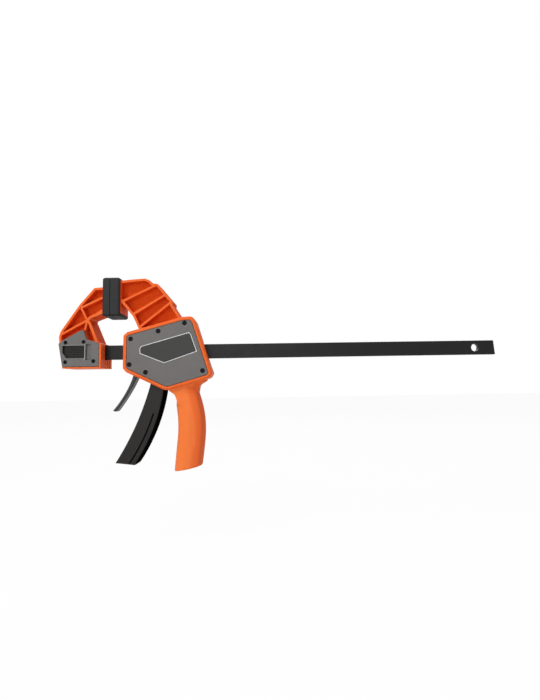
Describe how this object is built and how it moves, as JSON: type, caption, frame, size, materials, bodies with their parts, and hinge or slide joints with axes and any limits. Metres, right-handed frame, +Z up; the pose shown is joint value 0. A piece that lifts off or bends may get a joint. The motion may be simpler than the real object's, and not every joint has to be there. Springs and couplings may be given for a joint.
{
  "type": "quick release bar clamp",
  "caption": "One-handed bar clamp with rubber-padded ribbed jaws, a squeeze trigger under a covered housing, a release lever, and a fixed jaw that a rocker button locks.",
  "frame": {"origin": "on the bar's centre line, directly below the plane in which the closed jaw pads meet", "axes": "+X along the bar toward its free end, +Z up toward the jaws, -Y toward the covers"},
  "size_m": [0.5183, 0.036, 0.2264],
  "materials": {
    "bar_steel": "blackened steel, satin",
    "orange_plastic": "moulded glass-filled plastic, fine texture",
    "grey_cover": "moulded plastic, fine texture",
    "screw_black": "blackened steel",
    "pad_rubber": "soft rubber, matt",
    "button_plastic": "moulded plastic, satin",
    "trigger_plastic": "moulded glass-filled plastic, matt",
    "lever_plastic": "moulded plastic, matt",
    "bright_steel": "ground steel",
    "spring_steel": "drawn spring wire",
    "label_plastic": "plain satin plate with a paler border",
    "guide_plastic": "low-friction plastic"
  },
  "bodies": {
    "bar_and_fixed_jaw": {"bar": "bar_steel", "fixed_jaw_frame": "orange_plastic", "fixed_jaw_cover": "grey_cover", "fixed_jaw_screws": "screw_black", "fixed_jaw_pad": "pad_rubber", "button_pivot_pin": "bright_steel", "button_spring": "spring_steel"},
    "jaw_release_button": {"jaw_release_button": "button_plastic", "jaw_lock_pin": "bright_steel"},
    "moving_jaw": {"housing": "orange_plastic", "body_cover": "grey_cover", "body_cover_screws": "screw_black", "label_plate": "label_plastic", "moving_jaw_pad": "pad_rubber", "trigger_pin": "bright_steel", "front_bar_guide": "guide_plastic", "rear_bar_guide": "guide_plastic", "drive_spring": "spring_steel", "drive_washer": "bright_steel", "brake_spring": "spring_steel"},
    "trigger": {"trigger": "trigger_plastic"},
    "drive_plates": {"drive_plates": "bright_steel"},
    "release_lever": {"brake_plate": "bright_steel", "release_lever": "lever_plastic"}
  },
  "joints": [
    {"name": "body_slide", "type": "slide", "parent": "bar_and_fixed_jaw", "child": "moving_jaw", "axis": [1, 0, 0], "range_m": [0, 0.3]},
    {"name": "trigger_hinge", "type": "hinge", "parent": "moving_jaw", "child": "trigger", "pos_m": [0.06797, 0, 0.018], "axis": [0, -1, 0], "range_deg": [0, 9], "stiffness_Nm_per_rad": 1.2, "springref_deg": -8.59},
    {"name": "drive_plates_slide", "type": "slide", "parent": "moving_jaw", "child": "drive_plates", "axis": [1, 0, 0], "range_m": [-0.0002, 0.0053], "deforming": ["drive_spring"]},
    {"name": "release_lever_hinge", "type": "hinge", "parent": "moving_jaw", "child": "release_lever", "pos_m": [0.03503, 0, 0.016], "axis": [0, -1, 0], "range_deg": [0, 6], "stiffness_Nm_per_rad": 0.6, "springref_deg": -8.59, "deforming": ["brake_spring"]},
    {"name": "button_rocker", "type": "hinge", "parent": "bar_and_fixed_jaw", "child": "jaw_release_button", "pos_m": [-0.041, -0.0065, 0], "axis": [0, 0, -1], "range_deg": [0, 12], "stiffness_Nm_per_rad": 0.15, "springref_deg": -8.59, "deforming": ["button_spring"]}
  ],
  "couplings": [
    {"joint": "drive_plates_slide", "follows": "trigger_hinge", "m_per_rad": 0.032}
  ]
}
